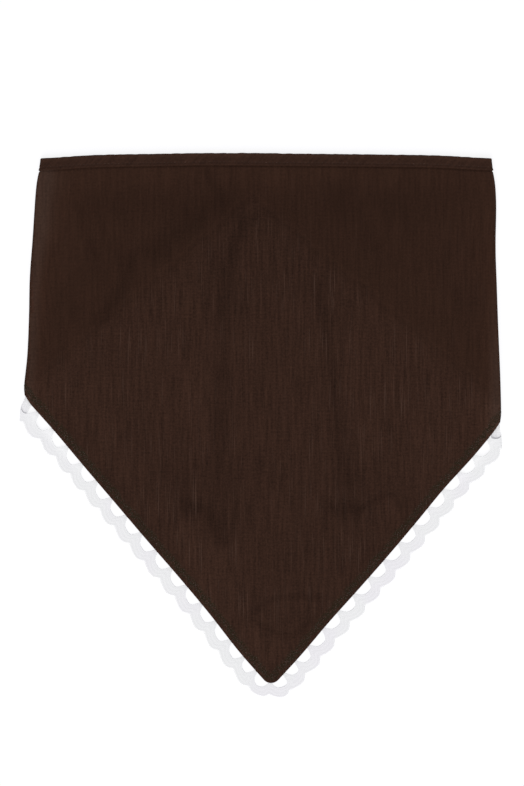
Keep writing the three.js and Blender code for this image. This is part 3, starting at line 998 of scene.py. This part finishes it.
def bound_tape():
    """A U of folded tape over the top edge, with a groove along the row of stitches near its lower edges.
    """
    last = half_top - corner_cut + 0.5 * mm
    across = list(np.arange(-last, last, cloth_step)) + [last]
    for line in folds:
        start = line.top[0] - line.side * fold_outer
        arc = line.side * math.pi * fold_radius
        across += [start + arc * step / fold_steps for step in range(fold_steps + 1)]
    across = sorted(set(round(x, 6) for x in across))
    leg = tape_height + tape_crown
    back_leg = leg + tape_back_extra
    turn = math.pi * tape_middle
    up = [share * tape_height for share in tape_rows]
    arc = [leg + turn * step / fold_steps for step in range(fold_steps + 1)]
    whole = leg + turn + back_leg
    bm = drawn_grid(across, up + arc + [whole - place for place in reversed(up)])
    thicken(bm)

    def place(drawn, side):
        x, s = drawn[:, 0], drawn[:, 1]
        from_edge = np.minimum(s, whole - s)
        rounding = rounded_rim(from_edge, tape_rounding, 0.03)
        groove = bell(from_edge - tape_stitch_up, tape_groove_width)
        join = smooth(x, tape_join[0] - mm, tape_join[0] + mm)
        join = join * (1 - smooth(x, tape_join[1] - mm, tape_join[1] + mm))
        outer = tape_wall / 2 * rounding * (1 - tape_groove_depth * groove)
        outer = outer + tape_join_rise * join * smooth(from_edge, 2 * mm, 4 * mm)
        plump = (tape_plump.height + wavy(x, tape_plump)) * smooth(from_edge, 2.4 * mm, 5 * mm)
        rim = (tape_rim.height + wavy(x, tape_rim)) * (1 - smooth(from_edge, 1 * mm, 2 * mm))
        away = np.where(side > 0, outer + plump + rim, -tape_wall / 2 * rounding)
        turned = np.clip((s - leg) / tape_middle, 0, math.pi)
        reach = tape_middle + away
        crown = tape_crown + wavy(x, tape_crown_wave) + tape_join_crown * join
        on_front = s < leg
        on_back = s > leg + turn
        y = np.where(on_front, s - leg, np.where(on_back, leg + turn - s, reach * np.sin(turned)))
        offset = np.where(on_front, reach, np.where(on_back, -reach, reach * np.cos(turned)))
        edge_wave = wavy(x, tape_edge_wave) * (1 - smooth(from_edge, 0, 4 * mm))
        return np.stack((x, y + crown + np.where(on_front, edge_wave, 0)), axis=1), offset, 0.0, {}

    return laid_piece("bound_tape", bm, place, brown_tape())


turn_length = (point_radius + notch_reach) * point_turn


def around_point(along, out):
    """Places along the outer edge, from the start of the turn, for rows that lie nearer the hem: round
    the point their way is shorter, and they make up for it over a few scallops on either side."""
    half_turn = turn_length * np.where(along < 0, point_notch, 1 - point_notch)
    shorter = point_radius / (point_radius + notch_reach)
    away = np.abs(along)
    behind = half_turn * (1 - shorter)
    inner = np.where(away < point_catch_up, away * (1 - behind / point_catch_up), away - behind)
    outer = np.where(inner < half_turn * shorter, inner / shorter, inner + behind)
    nearer = 1 - smooth(out, eyelet_reach, notch_reach)
    return turn_length * point_notch + np.sign(along) * (away + nearer * (outer - away))


def lace_point(along, out):
    """Flat points of the lace, from along, measured from the notch below the point of the cloth, and
    out from the hem."""
    past = around_point(along, out)
    share = np.clip(past / turn_length, 0, 1)
    turn = point_from + share * point_turn
    drawn_in = np.where(out > 0, 1 - point_draw_in * np.sin(math.pi * share**0.8), 1)
    reach = point_radius + out * drawn_in
    turned = point_centre + reach[:, None] * np.stack((np.sin(turn), -np.cos(turn)), axis=1)
    result = turned
    for edge, away in ((left_edge, -past), (right_edge, past - turn_length)):
        straight = edge.corner + (edge.length - point_setback - away)[:, None] * edge.along
        straight = straight + out[:, None] * edge.out
        result = np.where((away > 0)[:, None], straight, result)
    return result


def lace_end(edge):
    """Where the lace stops, measured from a corner: clear of the tape and of the other wing's lace."""
    rise, run = abs(edge.along[1]), abs(edge.along[0])
    clear_of_tape = (tape_height + 2 * mm + lace_tuck * run) / rise
    clear_of_lace = (bulge_reach * rise + 0.35 * mm) / run
    return max(clear_of_tape, clear_of_lace)


left_run = left_edge.length - point_setback - lace_end(left_edge) + turn_length * point_notch
right_run = right_edge.length - point_setback - lace_end(right_edge) + turn_length * (1 - point_notch)


def lace_stations():
    """Rows of along, eyelet and bulge for the whole strip, from its left end to its right end."""
    around = [(row.along + turn, row.eyelet, row.bulge) for turn in (-1, 0, 1, 2) for row in scallop]
    count = len(scallop)
    places = count + np.arange(count * lace_steps) / lace_steps
    one = spline(around, places)
    left_count = round(left_run / scallop_pitch)
    right_count = round(right_run / scallop_pitch)
    rows = []
    for copy in range(-left_count, right_count):
        for along, eyelet, bulge in one:
            place = (copy + along) / (left_count if copy < 0 else right_count)
            if copy < 0:
                place *= 1 + lace_stretch * (1 + place)
            run = left_run if copy < 0 else right_run
            rows.append((place * run, max(eyelet, 0), max(bulge, 0)))
    rows.append((right_run, 0, 0))
    return np.array(rows)


def scalloped_lace():
    stations = lace_stations()
    index = np.arange(len(stations))
    bm = drawn_grid(index, np.linspace(-1, 0, 4))
    band = mesh_of("lace_band", drawn_grid(index, np.linspace(1, 2, lace_rows + 1)))
    bm.from_mesh(band)
    bpy.data.meshes.remove(band)

    # The drawing so far counts stations and rows. Here it takes its real sizes, out running down.
    eyelet_foot = eyelet_start + (eyelet_reach - eyelet_start) * stations[:, 1]
    border = notch_reach + (bulge_reach - notch_reach) * stations[:, 2]
    for vert in bm.verts:
        station, row = round(vert.co.x), vert.co.y
        if row <= 0:
            out = eyelet_start + row * (lace_tuck + eyelet_start)
        else:
            out = eyelet_foot[station] + (border[station] - eyelet_foot[station]) * (row - 1)
        vert.co = (stations[station, 0], -out, 0)
    bmesh.ops.remove_doubles(bm, verts=bm.verts[:], dist=0.01 * mm)
    bmesh.ops.recalc_face_normals(bm, faces=bm.faces[:])
    if bm.faces[0].normal.z < 0:
        bmesh.ops.reverse_faces(bm, faces=bm.faces[:])
    thicken(bm)

    def place(drawn, side):
        along, out = drawn[:, 0], -drawn[:, 1]
        foot = np.interp(along, stations[:, 0], eyelet_foot)
        edge = np.interp(along, stations[:, 0], border)
        share = np.clip((out - foot) / (edge - foot), 0, 1)
        in_band = out > eyelet_start + 0.01 * mm
        cords = 0.5 + 0.5 * np.cos(2 * math.pi * lace_cords * share)
        rims = bell(share - 0.04, lace_rim_width) + bell(share - 0.95, lace_rim_width)
        relief = np.where(in_band, 0.55 * cords + 0.45 * np.minimum(rims, 1), 0.3)
        half = lace_wall / 2 * (0.7 + 0.35 * relief)
        beyond = smooth(out, 0.5 * mm, 8 * mm)
        lift = (lace_lift.height + wavy(along, lace_lift)) / 2 * beyond
        flat = lace_point(along, out)
        return flat, lace_offset + side * half + lift, smooth(out, *lace_limp), {"relief": relief}

    return laid_piece("scalloped_lace", bm, place, white_lace())


def stitch_template():
    """One stitch: a short rounded thread along x, drawn in metres about its own middle."""
    bm = bmesh.new()
    bmesh.ops.create_uvsphere(bm, u_segments=6, v_segments=5, radius=1)
    lying = Matrix.Rotation(math.radians(90), 3, "Y")
    bmesh.ops.rotate(bm, cent=(0, 0, 0), matrix=lying, verts=bm.verts[:])
    bmesh.ops.scale(bm, vec=(stitch_length / 2, thread_radius, thread_radius), verts=bm.verts[:])
    bmesh.ops.recalc_face_normals(bm, faces=bm.faces[:])
    return mesh_of("stitch", bm)


def evenly_along(path, pitch):
    """Points every pitch along a path, and the direction of the path there."""
    steps = np.linalg.norm(np.diff(path, axis=0), axis=1)
    travelled = np.concatenate(([0], np.cumsum(steps)))
    places = np.arange(pitch / 2, travelled[-1], pitch)
    points, ahead, behind = (
        np.stack([np.interp(places + step, travelled, path[:, axis]) for axis in (0, 1)], axis=1)
        for step in (0, pitch / 4, -pitch / 4)
    )
    along = ahead - behind
    return points, along / np.linalg.norm(along, axis=1)[:, None]


def sewn(name, rows, material):
    """Rows of stitches joined in one mesh. A row is a flat path, the side it shows on, and how far
    the thread's middle lies from the middle of the cloth."""
    template = stitch_template()
    shape = read_points(template)
    faces = [list(polygon.vertices) for polygon in template.polygons]
    bpy.data.meshes.remove(template)
    flats, offsets, tones, drawings = [], [], [], []
    for path, side, reach in rows:
        points, along = evenly_along(path, stitch_pitch)
        across = np.stack((-along[:, 1], along[:, 0]), axis=1)
        order = np.arange(len(points))
        askew = 0.06 * np.sin(order * 2.399)
        for index in order:
            x = shape[:, 0]
            y = shape[:, 1] + x * askew[index]
            flats.append(points[index] + x[:, None] * along[index] + y[:, None] * across[index])
            dip = (2 * x / stitch_length) ** 2 * 2.2 * thread_radius
            offsets.append(side * (reach + shape[:, 2] - dip))
            # A painted glint on a stitch here and there
            glint = 0.5 + 0.5 * math.sin(index * 5.17) * math.sin(index * 0.83)
            tones.append(np.full(len(x), glint**6))
            drawings.append(shape[:, :2] + (index * stitch_pitch, 0))
    laid = lay(np.concatenate(flats), np.concatenate(offsets))
    starts = [copy * len(shape) for copy in range(len(flats))]
    all_faces = [[corner + start for corner in face] for start in starts for face in faces]
    mesh = bpy.data.meshes.new(name)
    mesh.from_pydata(laid.tolist(), [], all_faces)
    bm = bmesh.new()
    bm.from_mesh(mesh)
    bmesh.ops.recalc_face_normals(bm, faces=bm.faces[:])
    bm.to_mesh(mesh)
    bm.free()
    finish_mesh(mesh, np.concatenate(drawings), {"tone": np.concatenate(tones)}, material)
    return add_object(name, mesh)


def hem_stitches(material):
    along = np.linspace(-left_run, right_run, 2400)
    path = lace_point(along, np.full(len(along), -stitch_inset))
    reach = hem_wall / 2 * 0.8
    return sewn("hem_stitches", ((path, 1, reach), (path, -1, reach)), material)


def tape_stitches(material):
    end = half_top - corner_cut - 2 * mm
    row = -tape_height + tape_stitch_up + tape_crown
    path = np.array([(-end, row), (end, row)])
    reach = tape_middle + tape_wall * 0.3
    return sewn("tape_stitches", ((path, 1, reach), (path, -1, reach)), material)


# Camera, light and floor

def set_camera():
    data = bpy.data.cameras.new("camera")
    data.lens = lens
    data.sensor_width = sensor
    camera = add_object("camera", data)
    camera.location = (*image_centre, image_height * pixel * lens / sensor)
    bpy.context.scene.camera = camera


def set_light():
    """An even pale sky, and a wide soft light that is so far off that it lights the whole floor alike."""
    scene = bpy.context.scene
    scene.view_settings.view_transform = "Standard"
    scene.view_settings.look = "None"
    world = bpy.data.worlds.new("studio")
    world.use_nodes = True
    background = world.node_tree.nodes["Background"]
    background.inputs["Color"].default_value = sky_colour
    background.inputs["Strength"].default_value = sky_strength
    scene.world = world
    data = bpy.data.lights.new("key", "SUN")
    data.energy = key_strength
    data.angle = key_spread
    data.color = key_colour
    add_object("key", data).rotation_euler = (math.pi / 2 - key_elevation, 0, key_towards)


def pale_floor():
    """A white light table: most of its light comes from within, so that hardly a shadow shows."""
    material, tree, shader = new_material("pale_floor", 0.9, 0.0, 0)
    grain = noise(tree, node(tree, "TexCoord").outputs["Object"], 3.0)
    tree.links.new(mixed(tree, grain, *floor_colours), shader.inputs["Base Color"])
    shader.inputs["Emission Color"].default_value = (1, 1, 1, 1)
    shader.inputs["Emission Strength"].default_value = floor_glow
    bm = drawn_grid([-floor_reach, floor_reach], [-floor_reach, floor_reach])
    bmesh.ops.translate(bm, vec=(0, 0, -0.1 * mm), verts=bm.verts[:])
    mesh = mesh_of("pale_floor", bm)
    mesh.materials.append(material)
    return add_object("pale_floor", mesh)


set_camera()
set_light()
pale_floor()

thread = brown_thread()
cloth = cotton_cloth()
tape = bound_tape()
lace = scalloped_lace()
hem_thread = hem_stitches(thread)
tape_thread = tape_stitches(thread)

for piece, slot in (
    (cloth, "cotton"),
    (tape, "binding_tape"),
    (lace, "lace"),
    (hem_thread, "cotton"),
    (tape_thread, "binding_tape"),
):
    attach(piece, "root")
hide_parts("kerchief_cloth")
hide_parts("top_binding")
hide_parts("lace_edging")
